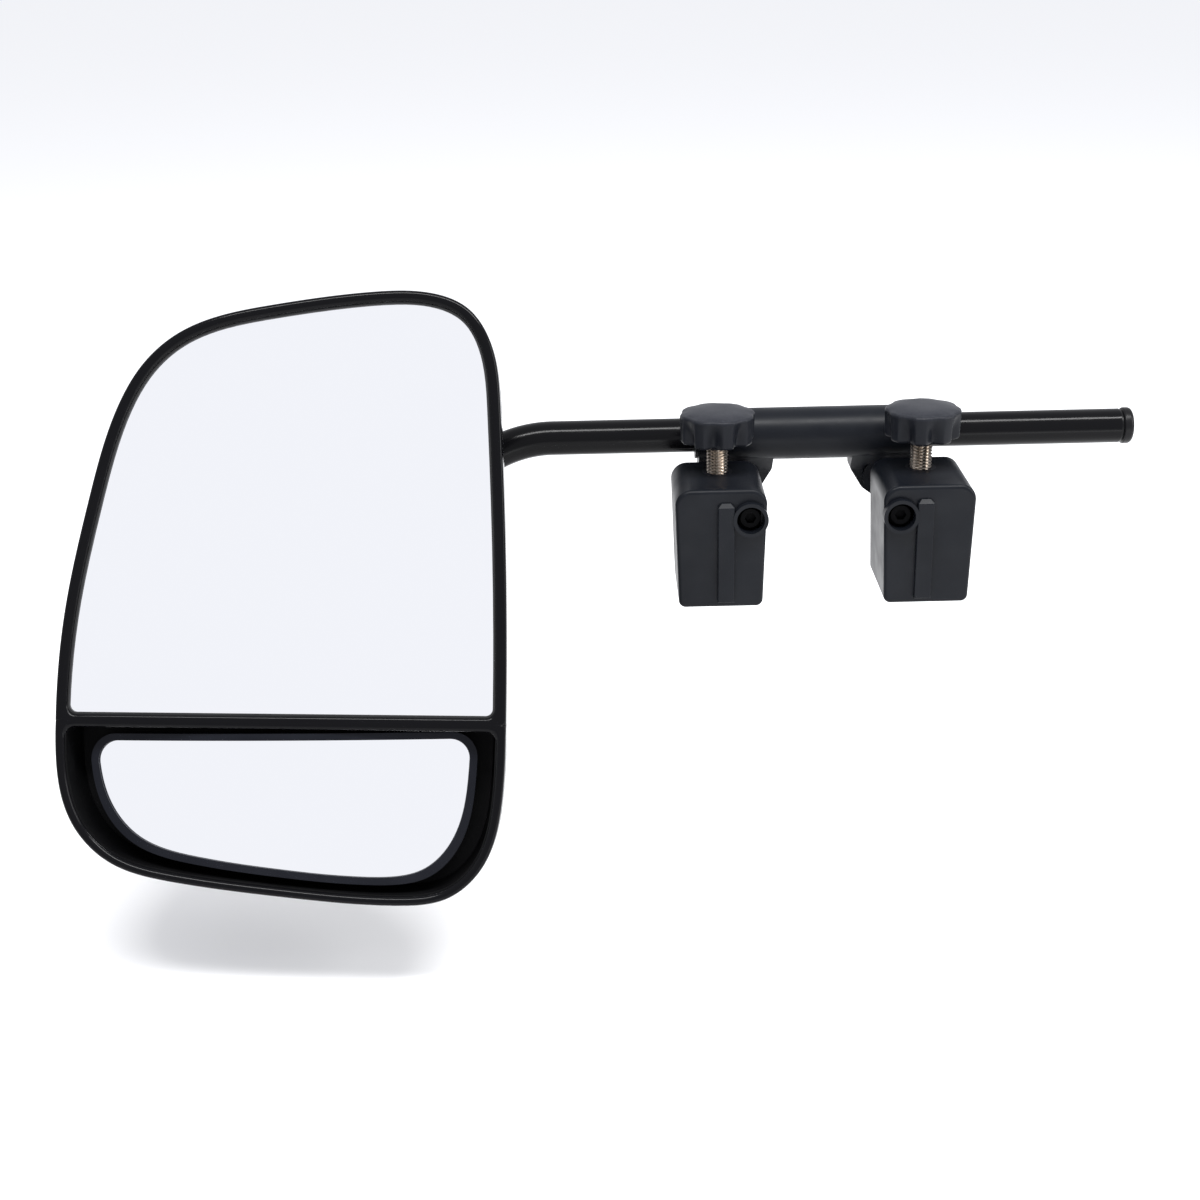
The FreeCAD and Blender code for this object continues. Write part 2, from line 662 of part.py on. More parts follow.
def ring(depth, inset=0.0, across=1.0, up=1.0):
    """The head's outline at a depth: a closed spline, scaled and then moved inwards along its own normal."""
    curve = Part.BSplineCurve()
    curve.interpolate(Points=[V(x, 0, z) for x, z in OUTLINE], PeriodicFlag=True)
    count = 48
    moved = []
    for step in range(count):
        at = curve.FirstParameter + (curve.LastParameter - curve.FirstParameter) * step / count
        point = curve.value(at)
        inward = curve.tangent(at)[0].cross(Y_AXIS)
        if inward.dot(point) > 0:
            inward = -inward
        spot = V(point.x * across, depth, point.z * up) + inward * inset
        moved.append(V(spot.x, depth, spot.z))
    smooth = Part.BSplineCurve()
    smooth.interpolate(Points=moved, PeriodicFlag=True)
    return Part.Wire([smooth.toShape()])


def slab(start, depth, inset=0.0, across=1.0, up=1.0):
    """A flat plate of the head's outline, from one depth to another."""
    face = Part.Face(ring(start, inset, across, up))
    return face.extrude(V(0, depth, 0))


def half(line, above, lift=0.0):
    """A big box on one side of a sloping line across the head."""
    (left, left_z), (right, right_z) = line
    angle = math.degrees(math.atan2(right_z - left_z, right - left))
    box = Part.makeBox(400, 200, 300, V(-200, -100, 0 if above else -300))
    box.Placement = FreeCAD.Placement(V(0, 0, (left_z * right - right_z * left) / (right - left) + lift),
                                      FreeCAD.Rotation(Y_AXIS, -angle)) * box.Placement
    return box


def rounded_corners(shape, radius):
    """A plate with its corners along y rounded."""
    solid = shape.Solids[0]
    sharp = [edge for edge in solid.Edges if runs_along(edge, Y_AXIS) and is_corner(solid, edge)]
    return solid.makeFillet(radius, sharp)


def is_corner(shape, edge):
    """Do the two faces beside this edge meet at an angle?"""
    beside = [face for face in shape.Faces if any(edge.isSame(other) for other in face.Edges)]
    if len(beside) != 2:
        return False
    middle = edge.valueAt((edge.FirstParameter + edge.LastParameter) / 2)
    normals = [face.normalAt(*face.Surface.parameter(middle)) for face in beside]
    return abs(normals[0].dot(normals[1])) < 0.95


def head_place(shape, label):
    """A head piece as a node."""
    centre = V(size("ball_x"), size("ball_y"), size("ball_z"))
    return place(feature(label + "_shape", shape), label, "arm", centre)


def main_plate(start, depth, inset, radius=4.0, drop=0.0):
    """A plate of the main glass's outline: the head's outline above the divider."""
    return rounded_corners(slab(start, depth, inset).common(half(DIVIDER_TOP, True, -drop)), radius)


def well_plate(start, depth, inset, radius=5.0, lift=0.0):
    """A plate of the well's outline: the head's outline below the divider."""
    return rounded_corners(slab(start, depth, inset).common(half(DIVIDER_FOOT, False, lift)), radius)


def spot_plate(start, depth, across, up, lift, radius):
    """A plate of the small glass's outline, narrower than the well."""
    return rounded_corners(slab(start, depth, 0, across, up).common(half(SPOT_TOP, False, lift)), radius)


def shell_hull(inset, sink):
    """The rear shell's bulging form, moved inwards at the sides and sunk from the back."""
    join = RIM_Y + size("bezel_depth")
    rings = [ring(join - sink, inset)]
    for depth, margin in SHELL_BULGE:
        rings.append(ring(join + depth - sink, inset, 1 - margin / HEAD_REACH[0], 1 - margin / HEAD_REACH[1]))
    return Part.makeLoft(rings, True)


def make_head_shells():
    """The rear shell with its ball seat and screw columns, and the front bezel with its divider."""
    wall = size("head_wall")
    join = RIM_Y + size("bezel_depth")
    outer = shell_hull(0, 0)
    inner = shell_hull(wall, wall)
    seat = Part.makeCylinder(19.5, 8.5, V(0, 0.8, 0), Y_AXIS).common(outer)
    shell = outer.cut(inner).fuse(seat)
    columns = []
    bores = []
    for x, z in SHELL_SCREWS:
        columns.append(Part.makeCylinder(5.2, 40, V(x, -24.4, z), Y_AXIS).common(outer))
        bores.append(Part.makeCylinder(4.0, 40, V(x, -9, z), Y_AXIS))
        bores.append(Part.makeCylinder(1.9, 30, V(x, -26, z), Y_AXIS))
    for x, z in socket_points():
        columns.append(Part.makeCylinder(4.2, 40, V(x, -4, z), Y_AXIS).common(outer))
        bores.append(Part.makeCylinder(1.6, 8, V(x, -5, z), Y_AXIS))
    hollow = Part.makeSphere(size("cup_dia") / 2 + size("fit_gap"))
    mouth = Part.makeCone(13.2, 15.4, 3, V(0, 6.4, 0), Y_AXIS)
    head_place(shell.fuse(columns).cut([hollow, mouth] + bores), "rear_shell")

    front = [(RIM_Y, 1.7), (RIM_Y + 0.5, 0.8), (RIM_Y + RIM_LIP, 0.0), (join, 0.0)]
    rim = Part.makeLoft([ring(depth, inset) for depth, inset in front], True)
    width = size("rim_width")
    bezel = rim.cut([
        main_plate(RIM_Y - 2, 20, width), main_plate(RIM_Y + RIM_LIP, 20, width - 1.8, 5.5, 1.6),
        well_plate(RIM_Y - 2, 20, width - 1), well_plate(RIM_Y + RIM_LIP, 20, width - 2.4, 6.5, 3.2),
    ])
    head_place(bezel, "front_bezel")


def pan_limit(inset):
    """The room inside both shells, as far as the pan's walls may reach."""
    join = RIM_Y + size("bezel_depth")
    lead = slab(RIM_Y - 4, join - RIM_Y + 4, inset)
    behind = Part.makeBox(400, 100, 400, V(-200, join, -200))
    return lead.fuse(shell_hull(inset, size("head_wall")).common(behind))


def make_glasses():
    """The flat main glass with its seal and carrier, and the well's pan, all held by the bezel."""
    width = size("rim_width")
    thick = size("glass_thickness")
    lip = RIM_Y + RIM_LIP
    seal = main_plate(lip, 0.9, width - 1.8, 5.5, 1.6).cut(main_plate(lip - 1, 3, width + 0.9, 3.2, -0.9))
    head_place(seal, "glass_seal")
    head_place(main_plate(lip + 0.9, thick, width - 1.6, 5.3, 1.4), "main_glass")
    carrier = main_plate(lip + 0.9 + thick, 2.0, width - 1.6, 5.3, 1.4)
    holes = [Part.makeCylinder(1.9, 4, V(x, -27, z), Y_AXIS) for x, z in SHELL_SCREWS]
    head_place(carrier.cut(holes), "glass_carrier")

    clear = size("head_wall") + 0.4
    flange = well_plate(lip, 1.5, width - 2.2, 6.3, 2.95)
    tub = well_plate(lip, WELL_FLOOR + PAN_WALL - lip, width - 1.6, 6.1, 2.95).common(pan_limit(clear))
    room = well_plate(lip - 1, WELL_FLOOR - lip + 1, width - 0.4, 5.2, 1.6)
    room = room.common(pan_limit(clear + PAN_WALL))
    pan = flange.fuse(tub).cut(room).removeSplitter()
    head_place(pan, "well_pan")


def socket_points():
    """Where the socket plate's screws stand, round the ball."""
    angles = [2 * math.pi * step / SOCKET_SCREWS for step in range(SOCKET_SCREWS)]
    return [(SOCKET_RING * math.sin(angle), SOCKET_RING * math.cos(angle)) for angle in angles]


def make_socket():
    """The two friction cups round the arm's ball, and the sprung plate that squeezes them."""
    inner = Part.makeSphere(size("ball_dia") / 2 + size("fit_gap"))
    outer = Part.makeSphere(size("cup_dia") / 2)
    zone = outer.cut(inner)
    head_place(zone.common(Part.makeBox(60, 4.2, 60, V(-30, 1.4, -30))), "rear_cup")
    head_place(zone.common(Part.makeBox(60, 11.0, 60, V(-30, -12.4, -30))), "front_cup")

    boss = Part.makeCylinder(18.5, 12, V(0, -13.4, 0), Y_AXIS)
    plate = Part.makeCylinder(30, 3, V(0, -9, 0), Y_AXIS).fuse(boss)
    tools = [Part.makeSphere(size("cup_dia") / 2 + size("fit_gap"))]
    tools.append(Part.makeCylinder(8.8, 10, V(0, -20, 0), Y_AXIS))
    screws = []
    springs = []
    for x, z in socket_points():
        tools.append(Part.makeCylinder(2.1, 10, V(x, -14, z), Y_AXIS))
        head = Part.makeCylinder(4.2, 2.6, V(x, -17.6, z), Y_AXIS)
        slot = Part.makeBox(1.1, 1.2, 10, V(x - 0.55, -17.7, z - 5))
        screws.append(head.fuse(Part.makeCylinder(1.6, 17.5, V(x, -15.0, z), Y_AXIS)).cut(slot))
        springs.append(spring(V(x, -15.0, z), 6.0, 3.0, 0.55, 3.5))
    head_place(plate.cut(tools), "socket_plate")
    head_place(Part.makeCompound(screws), "socket_screws")
    head_place(Part.makeCompound(springs), "socket_springs")

    shell_screws = []
    for x, z in SHELL_SCREWS:
        head = Part.makeCylinder(3.7, 2.6, V(x, -9, z), Y_AXIS)
        level = Part.makeBox(5, 1.4, 1, V(x - 2.5, -7.6, z - 0.5))
        upright = Part.makeBox(1, 1.4, 5, V(x - 0.5, -7.6, z - 2.5))
        shank = Part.makeCylinder(1.9, 16.6, V(x, -25.6, z), Y_AXIS)
        shell_screws.append(head.fuse(shank).cut(level.fuse(upright)))
    head_place(Part.makeCompound(shell_screws), "shell_screws")


def spring(start, height, radius, wire, turns):
    """A coil spring that stands along y."""
    helix = Part.makeHelix((height - 2 * wire) / turns, height - 2 * wire, radius)
    section = Part.Wire(Part.makeCircle(wire, V(radius, 0, 0), V(0, 1, 0)))
    coil = Part.Wire(helix).makePipeShell([section], True, True)
    coil.Placement = FreeCAD.Placement(start + V(0, wire, 0), ALONG["y"])
    return coil


def make_spot_mirror():
    """The small convex glass in its holder, on a ball stud that stands in the well."""
    centre = V(0, size("spot_radius") - 30, -88)
    outer_ball = Part.makeSphere(size("spot_radius"), centre)
    inner_ball = Part.makeSphere(size("spot_radius") - 2.5, centre)
    glass = spot_plate(-34, 20, 0.84, 0.91, 0, 8.5)
    head_place(glass.common(outer_ball).cut(inner_ball), "blind_spot_glass")

    tray = spot_plate(-34, 14, 0.872, 0.935, 3.0, 11.0)
    tray = tray.common(Part.makeSphere(size("spot_radius") + 0.9, centre)).cut(glass.cut(inner_ball))
    socket = Part.makeCylinder(10.5, 6, SPOT_PIVOT - V(0, 5, 0), Y_AXIS)
    cup_radius = size("spot_cup_dia") / 2
    ball_radius = size("spot_ball_dia") / 2
    hollow = Part.makeSphere(cup_radius + size("fit_gap"), SPOT_PIVOT)
    head_place(tray.fuse(socket).cut(hollow), "blind_spot_holder")

    hollow_ball = Part.makeSphere(ball_radius + size("fit_gap"), SPOT_PIVOT)
    shell = Part.makeSphere(cup_radius, SPOT_PIVOT).cut(hollow_ball)
    zone = shell.common(Part.makeBox(20, 6.4, 20, SPOT_PIVOT + V(-10, -5.4, -10)))
    head_place(zone, "pivot_cup")
    stud = Part.makeSphere(ball_radius, SPOT_PIVOT).fuse(Part.makeCylinder(2.6, 6, SPOT_PIVOT, Y_AXIS))
    stud = stud.fuse(Part.makeCylinder(8.0, 1.4, SPOT_PIVOT + V(0, 4.6, 0), Y_AXIS))
    head_place(stud, "pivot_stud")


# ---------------------------------------------------------------- write


def write():
    """Check every object and write each node."""
    doc.recompute()
    for item in doc.Objects:
        if "Invalid" in item.State or "Error" in item.State:
            raise RuntimeError(f"{item.Name} failed: {item.State}")
    os.makedirs("parts", exist_ok=True)
    for item in nodes:
        if item.Shape.isNull() or not item.Shape.isValid():
            raise RuntimeError(f"{item.Label} has no valid shape")
        item.Shape.exportStep(f"parts/{item.Label}.step")
        box = item.Shape.BoundBox
        print(item.Label, len(item.Shape.Solids), round(item.Shape.Volume),
              [round(v, 1) for v in (box.XMin, box.XMax, box.YMin, box.YMax, box.ZMin, box.ZMax)])


make_arm()
make_bridge()
make_fixed_jaws()
make_moving_jaws()
make_screws()
make_wedges()
make_head_shells()
make_glasses()
make_socket()
make_spot_mirror()
write()
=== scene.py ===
"""Clamp-on towing mirror: the visible pieces, their finishes and a studio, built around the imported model.

The layout is a Blender add-on's: sizes and colours are properties, each piece has an operator, and a panel in
the 3D view's sidebar lists them. Run as a script, it builds everything in order.
"""

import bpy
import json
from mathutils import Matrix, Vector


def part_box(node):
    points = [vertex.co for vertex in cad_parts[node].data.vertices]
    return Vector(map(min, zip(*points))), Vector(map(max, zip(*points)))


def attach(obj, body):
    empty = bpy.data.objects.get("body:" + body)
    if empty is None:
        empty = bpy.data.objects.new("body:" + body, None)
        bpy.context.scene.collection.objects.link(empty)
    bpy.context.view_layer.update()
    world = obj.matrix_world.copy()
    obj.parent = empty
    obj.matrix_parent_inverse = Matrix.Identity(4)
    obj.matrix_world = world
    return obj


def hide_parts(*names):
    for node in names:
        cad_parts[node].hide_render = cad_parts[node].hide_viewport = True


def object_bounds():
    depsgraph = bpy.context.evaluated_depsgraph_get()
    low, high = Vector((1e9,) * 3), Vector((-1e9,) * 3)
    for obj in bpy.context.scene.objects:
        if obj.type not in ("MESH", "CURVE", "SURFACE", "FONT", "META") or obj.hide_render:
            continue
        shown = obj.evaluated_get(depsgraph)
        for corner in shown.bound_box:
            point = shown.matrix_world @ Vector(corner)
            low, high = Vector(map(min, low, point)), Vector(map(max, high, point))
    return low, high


bl_info = {
    "name": "Towing mirror",
    "version": (1, 0, 0),
    "blender": (4, 5, 0),
    "location": "3D View > Sidebar > Mirror",
    "description": "Builds a clamp-on towing mirror with its finishes and a studio",
    "category": "Object",
}

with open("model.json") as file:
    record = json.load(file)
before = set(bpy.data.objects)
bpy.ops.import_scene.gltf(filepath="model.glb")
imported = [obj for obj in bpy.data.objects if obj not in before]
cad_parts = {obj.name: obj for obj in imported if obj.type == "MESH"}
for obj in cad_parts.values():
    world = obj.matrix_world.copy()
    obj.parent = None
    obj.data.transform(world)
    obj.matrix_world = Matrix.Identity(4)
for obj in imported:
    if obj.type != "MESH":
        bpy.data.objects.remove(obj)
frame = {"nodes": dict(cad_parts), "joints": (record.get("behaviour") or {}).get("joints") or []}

import json
import math

import bpy
import numpy as np
from mathutils import Vector

CAD_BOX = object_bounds()
JOINTS = {joint["name"]: joint for joint in frame["joints"]}
MM = 0.001
SIDES = ("left", "right")

# Places and directions that the frame gives: the arm's axis, and the turned axes of the head.
TUBE_AXIS = np.array(JOINTS["arm_turn"]["pos_m"])
BALL = np.array(JOINTS["head_tilt"]["pos_m"])
TURNED = np.array([(1, 0, 0), JOINTS["head_roll"]["axis"], JOINTS["head_pan"]["axis"]], float)
STUDS = {side: np.array(JOINTS[f"knob_{side}_spin"]["pos_m"]) for side in SIDES}

# The head's outline about the arm's ball, in millimetres, seen from the glass side.
OUTLINE = [
    (-97.7, -52), (-92.5, -2), (-81, 46), (-67, 87), (-57, 103), (-42, 116), (0, 128), (45, 132.7),
    (68, 131.7), (84, 125), (94.5, 108), (97.6, 82), (98.3, 0), (96.7, -60), (94, -92), (86, -116),
    (70, -130), (48, -132.7), (0, -128), (-50, -120), (-76, -111), (-91, -95),
]

# The divider's two edges, as lines across the head.
DIVIDER_TOP = ((-86, -46.8), (88, -52.6))
DIVIDER_FOOT = ((-86, -52.2), (88, -58.6))

# The bezel: the depth of its face and of its joint with the shell, the rim's width and corner radius round
# the main glass and round the well, and the middles that both rings are drawn about.
RIM_Y = -32.0
JOIN_Y = -22.0
GLASS_RIM, GLASS_CORNER = 5.0, 4.0
WELL_RIM, WELL_CORNER = 4.0, 5.0
UPPER_CENTRE = (5.0, 30.0)
WELL_CENTRE = (5.0, -88.0)
# How far behind the face the opening's lip and the back of the divider's bar stand.
LIP_DROP = 1.8
BAR_DROP = 3.4
# How far from the divider's line, and from its ends, the bar's section fades into the rim's.
BAR_FADE = 1.5
END_FADE = 1.8
# Across the bezel: the share of its width, the depth of the rounded rim there, and that of the divider's bar.
RIM_SECTION = [
    (0.0, -30.2, -31.9), (0.03, -30.9, -31.9), (0.09, -31.4, -31.9), (0.18, -31.75, -31.88),
    (0.3, -31.95, -31.84), (0.45, -32.0, -31.78), (0.6, -31.92, -31.7), (0.74, -31.7, -31.55),
    (0.86, -31.35, -31.3), (0.94, -31.0, -31.0), (0.985, -30.6, -30.6),
]
ROUND_STEPS = 720
RING_STEPS = 96

# The arm's centre line with its bend drawn sharp, in millimetres from the middle of the sleeve.
ARM_CORNERS = [(144.0, 0.0), (-142.0, 0.0), (-240.0, -74.0)]

# The end plug, in millimetres: radii of the stem (tip, root), the neck and the bead, and the head's length.
STEM_TIP, STEM_ROOT, PLUG_NECK, PLUG_BEAD = 5.9, 6.4, 7.2, 8.5
PLUG_HEAD = 6

# The knob, in millimetres and degrees: its lobes, the foot's radius and height, how far the crown stands
# above the shoulder, how much wider the lobes are there than at the base, and where the first flute is.
LOBES = 8
FOOT_RADIUS, FOOT_HEIGHT = 8, 2
CROWN = 2.2
LEAN = 0.5
FIRST_FLUTE = {"left": -10, "right": 190}

# The stud's thread: its depth as a share of the pitch, and the chamfer's length and depth in millimetres.
THREAD_DEPTH = 0.61
CHAMFER_LENGTH, CHAMFER_DEPTH = 0.9, 0.5

# The studio, in metres and watts. A lamp has a name, a place, the point that it faces, a size and a power.
FLOOR_DROP = 0.04
FLOOR_HALF = 12
FLOOR_LINES = 7
SKY = (0.95, 0.96, 1.0, 1)
LAMPS = [
    ("top", (0.1, -0.5, 1.25), (0, 0, 0.05), (1.5, 0.2), 32),
    ("side", (1.2, -0.35, 0.55), (0.05, 0, 0), (0.5, 0.8), 9),
    ("low", (0.27, -0.42, -0.09), (0.25, 0, 0.06), (0.6, 0.07), 0.3),
]


# ---------------------------------------------------------------- plane curves


def closed_curve(points, per_span=60):
    """A smooth closed curve through points: a periodic cubic spline over the chords' lengths."""
    points = np.asarray(points, float)
    count = len(points)
    step = np.linalg.norm(np.roll(points, -1, 0) - points, axis=1)
    slope = (np.roll(points, -1, 0) - points) / step[:, None]
    before = np.roll(step, 1)
    row = np.arange(count)
    system = np.zeros((count, count))
    system[row, row] = 2 * (before + step)
    system[row, (row + 1) % count] += step
    system[row, (row - 1) % count] += before
    bend = np.linalg.solve(system, 6 * (slope - np.roll(slope, 1, 0)))
    share = np.linspace(0, 1, per_span, endpoint=False)[None, :, None]
    span = step[:, None, None]
    here, there = points[:, None], np.roll(points, -1, 0)[:, None]
    first, last = bend[:, None], np.roll(bend, -1, 0)[:, None]
    cubic = ((1 - share) ** 3 - (1 - share)) * first + (share ** 3 - share) * last
    return (here * (1 - share) + there * share + cubic * span ** 2 / 6).reshape(-1, 2)


def inset(loop, width):
    """A closed loop moved inwards along its own normal."""
    along = np.roll(loop, -1, 0) - np.roll(loop, 1, 0)
    along /= np.linalg.norm(along, axis=1)[:, None]
    inward = np.stack([along[:, 1], -along[:, 0]], 1)
    if np.sum(inward * (loop.mean(0) - loop)) < 0:
        inward = -inward
    return loop + inward * width


def rounded(points, radii, steps=10):
    """An open polyline with arcs for corners: each runs between the points where it meets both sides."""
    points = [np.asarray(point, float) for point in points]
    count = len(points)
    radii = [radii] * count if np.isscalar(radii) else list(radii)
    out = []
    for index, corner in enumerate(points):
        if radii[index] == 0 or index in (0, count - 1):
            out.append(corner[None])
            continue
        back = points[index - 1] - corner
        ahead = points[index + 1] - corner
        back /= np.linalg.norm(back)
        ahead /= np.linalg.norm(ahead)
        half = math.acos(np.clip(back @ ahead, -1, 1)) / 2
        reach = radii[index] / math.tan(half)
        middle = (back + ahead) / np.linalg.norm(back + ahead)
        centre = corner + middle * radii[index] / math.sin(half)
        start, end = corner + back * reach - centre, corner + ahead * reach - centre
        swing = math.pi - 2 * half
        turn = np.linspace(0, 1, steps + 1)[:, None]
        arc = (np.sin((1 - turn) * swing) * start + np.sin(turn * swing) * end) / math.sin(swing)
        out.append(centre + arc)
    return np.concatenate(out)


def clipped(loop, line, above, radius=0.0):
    """The part of a loop on one side of a sloping line, closed along the line, its two corners rounded."""
    (left, left_z), (right, right_z) = line
    slope = (right_z - left_z) / (right - left)
    side = loop[:, 1] - (left_z + slope * (loop[:, 0] - left))
    side = side if above else -side
    keep = side > 0
    start = int(np.flatnonzero(keep & ~np.roll(keep, 1))[0])
    loop, side, keep = np.roll(loop, -start, 0), np.roll(side, -start), np.roll(keep, -start)
    inside = int(np.flatnonzero(~keep)[0])

    def crossing(one, two):
        share = side[one] / (side[one] - side[two])
        return loop[one] * (1 - share) + loop[two] * share

    first, last = crossing(-1, 0), crossing(inside - 1, inside)
    run = np.concatenate([first[None], loop[:inside], last[None]])
    if radius:
        run = corner_cut(run, radius)
    return dense(run)


def corner_cut(run, radius):
    """An open run whose two ends meet along a straight side: both corners with that side become arcs."""
    ends = []
    for way in (run, run[::-1]):
        corner, other = way[0], way[-1]
        straight = (other - corner) / np.linalg.norm(other - corner)
        gone = np.linalg.norm(way - corner, axis=1)
        side = way[np.argmax(gone > radius * 1.2)] - corner
        side /= np.linalg.norm(side)
        half = math.acos(np.clip(side @ straight, -1, 1)) / 2
        reach = radius / math.tan(half)
        first = int(np.argmax(gone > reach))
        sides = [corner + straight * reach * 2, corner, way[first] + (way[first] - corner)]
        arc = rounded(sides, radius, 16)
        ends.append((first, arc[1:-1]))
    (cut_start, arc_start), (cut_end, arc_end) = ends
    return np.concatenate([arc_start, run[cut_start:len(run) - cut_end], arc_end[::-1]])


def dense(loop, spacing=0.4):
    """A closed loop with points at an even spacing."""
    closed = np.concatenate([loop, loop[:1]])
    gone = np.concatenate([[0], np.cumsum(np.linalg.norm(np.diff(closed, axis=0), axis=1))])
    at = np.linspace(0, gone[-1], int(gone[-1] / spacing), endpoint=False)
    return np.stack([np.interp(at, gone, closed[:, axis]) for axis in (0, 1)], 1)


def around(loop, centre, corners=()):
    """A loop as points at even angles about a centre, and at its corners' angles too: the distance from the
    centre is a function of the angle."""
    angle = np.arctan2(loop[:, 1] - centre[1], loop[:, 0] - centre[0])
    reach = np.hypot(loop[:, 0] - centre[0], loop[:, 1] - centre[1])
    order = np.argsort(angle)
    wanted = np.sort(np.append(np.linspace(-math.pi, math.pi, ROUND_STEPS, endpoint=False), corners))
    far = np.interp(wanted, angle[order], reach[order], period=2 * math.pi)
    return np.stack([centre[0] + far * np.cos(wanted), centre[1] + far * np.sin(wanted)], 1)


# ---------------------------------------------------------------- meshes


def grid(points, wrap_rows=False, cap_first=False, cap_last=False):
    """A surface over a grid of points (rows, columns, 3): each row is a ring, the rows are joined round where
    asked, and an end row is capped with a pole where asked."""
    rows, columns = points.shape[:2]
    number = np.arange(rows * columns).reshape(rows, columns)
    if wrap_rows:
        number = np.concatenate([number, number[:1]])
    number = np.concatenate([number, number[:, :1]], 1)
    quads = np.stack([number[:-1, :-1], number[:-1, 1:], number[1:, 1:], number[1:, :-1]], -1).reshape(-1, 4)
    places = points.reshape(-1, 3)
    fans = []
    for wanted, row, flip in ((cap_first, number[0], True), (cap_last, number[-1], False)):
        if wanted:
            middle = len(places)
            places = np.concatenate([places, places[row[:-1]].mean(0)[None]])
            fan = np.stack([row[:-1], row[1:], np.full(len(row) - 1, middle)], -1)
            fans.append(fan[:, ::-1] if flip else fan)
    return outward(places, quads, np.concatenate(fans) if fans else np.zeros((0, 3), int))


def outward(places, quads, fans):
    """The same surface with its faces turned outwards: the volume it encloses comes out positive."""
    triangles = np.concatenate([quads[:, [0, 1, 2]], quads[:, [0, 2, 3]], fans])
    first, second, third = (places[triangles[:, index]] for index in range(3))
    if np.sum(first * np.cross(second, third)) < 0:
        quads, fans = quads[:, ::-1], fans[:, ::-1]
    return places, quads, fans


def piece(name, parts, body, replaced, material, crease=35.0):
    """An object from one or more closed surfaces in metres, riding on a body and standing for CAD nodes."""
    places, faces, start = [], [], 0
    for where, quads, fans in parts:
        places.append(where)
        faces += (quads + start).tolist() + (fans + start).tolist()
        start += len(where)
    mesh = bpy.data.meshes.new(name)
    mesh.from_pydata(np.concatenate(places), [], faces)
    mesh.polygons.foreach_set("use_smooth", np.ones(len(mesh.polygons), bool))
    mesh.set_sharp_from_angle(angle=math.radians(crease))
    mesh.materials.append(material)
    item = bpy.data.objects.new(name, mesh)
    bpy.context.scene.collection.objects.link(item)
    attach(item, body)
    for node in replaced:
        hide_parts(node)
    return item


def turned(profile, centre, axis):
    """A profile of (radius, height) turned round an axis: radius times the circle, plus height along it."""
    axis = np.asarray(axis, float) / np.linalg.norm(axis)
    side = np.cross(axis, (0, 0, 1) if abs(axis[2]) < 0.9 else (1, 0, 0))
    side /= np.linalg.norm(side)
    other = np.cross(axis, side)
    angle = np.linspace(0, 2 * math.pi, RING_STEPS, endpoint=False)[None, :, None]
    profile = np.asarray(profile, float) * MM
    radius, height = profile[:, 0][:, None, None], profile[:, 1][:, None, None]
    points = centre + radius * (np.cos(angle) * side + np.sin(angle) * other) + height * axis
    poles = profile[0, 0] < 1e-6, profile[-1, 0] < 1e-6
    rows = points[int(poles[0]):len(points) - int(poles[1])]
    return grid(rows, wrap_rows=not any(poles), cap_first=poles[0], cap_last=poles[1])


def head_points(loops, depths):
    """Loops across the head (rows, columns, 2) and a depth for each point, as points in the world."""
    loops = np.asarray(loops, float)
    local = np.stack([loops[..., 0], depths, loops[..., 1]], -1) * MM
    return BALL + local @ TURNED


# ---------------------------------------------------------------- materials


class Finish:
    """A node material: one shader, with colour, roughness and bump patterns over the object's coordinates."""

    def __init__(self, name, colour, roughness, metallic=0.0, coat=0.0, specular=0.3):
        self.material = bpy.data.materials.new(name)
        self.material.use_nodes = True
        self.tree = self.material.node_tree
        self.shader = self.tree.nodes["Principled BSDF"]
        self.shader.inputs["Base Color"].default_value = (*colour, 1)
        self.shader.inputs["Roughness"].default_value = roughness
        self.shader.inputs["Metallic"].default_value = metallic
        self.shader.inputs["Coat Weight"].default_value = coat
        self.shader.inputs["Coat Roughness"].default_value = 0.06
        self.shader.inputs["Specular IOR Level"].default_value = specular
        self.place = self.tree.nodes.new("ShaderNodeTexCoord").outputs["Object"]
        self.normal = None

    def add(self, kind, links=(), **fields):
        """A node with some inputs set and others linked."""
        node = self.tree.nodes.new("ShaderNode" + kind)
        for field, value in fields.items():
            if field in node.inputs:
                node.inputs[field].default_value = value
            else:
                setattr(node, field, value)
        for socket, source in links:
            self.tree.links.new(source, node.inputs[socket])
        return node

    def noise(self, scale, detail=3.0, stretch=None):
        """A noise pattern over the object's coordinates, stretched where asked."""
        place = self.place
        if stretch:
            place = self.add("Mapping", [("Vector", place)], Scale=stretch).outputs["Vector"]
        return self.add("TexNoise", [("Vector", place)], Scale=scale, Detail=detail).outputs["Fac"]

    def blend(self, factor, low, high, low_at=0.35, high_at=0.65):
        """Colours or greys between two ends, as a pattern goes from one value to the other."""
        ramp = self.add("ValToRGB", [("Fac", factor)])
        ends = ramp.color_ramp.elements
        for end, at, value in ((ends[0], low_at, low), (ends[1], high_at, high)):
            end.position = at
            end.color = (*value, 1) if np.ndim(value) else (value, value, value, 1)
        return ramp.outputs["Color"]

    def drive(self, socket, source):
        """Link a pattern to a socket of the shader."""
        self.tree.links.new(source, self.shader.inputs[socket])
        return self

    def bump(self, height, strength, distance):
        """Add a bump over whatever bump there is already."""
        links = [("Height", height)] + ([("Normal", self.normal)] if self.normal else [])
        self.normal = self.add("Bump", links, Strength=strength, Distance=distance).outputs["Normal"]
        self.tree.links.new(self.normal, self.shader.inputs["Normal"])
        return self


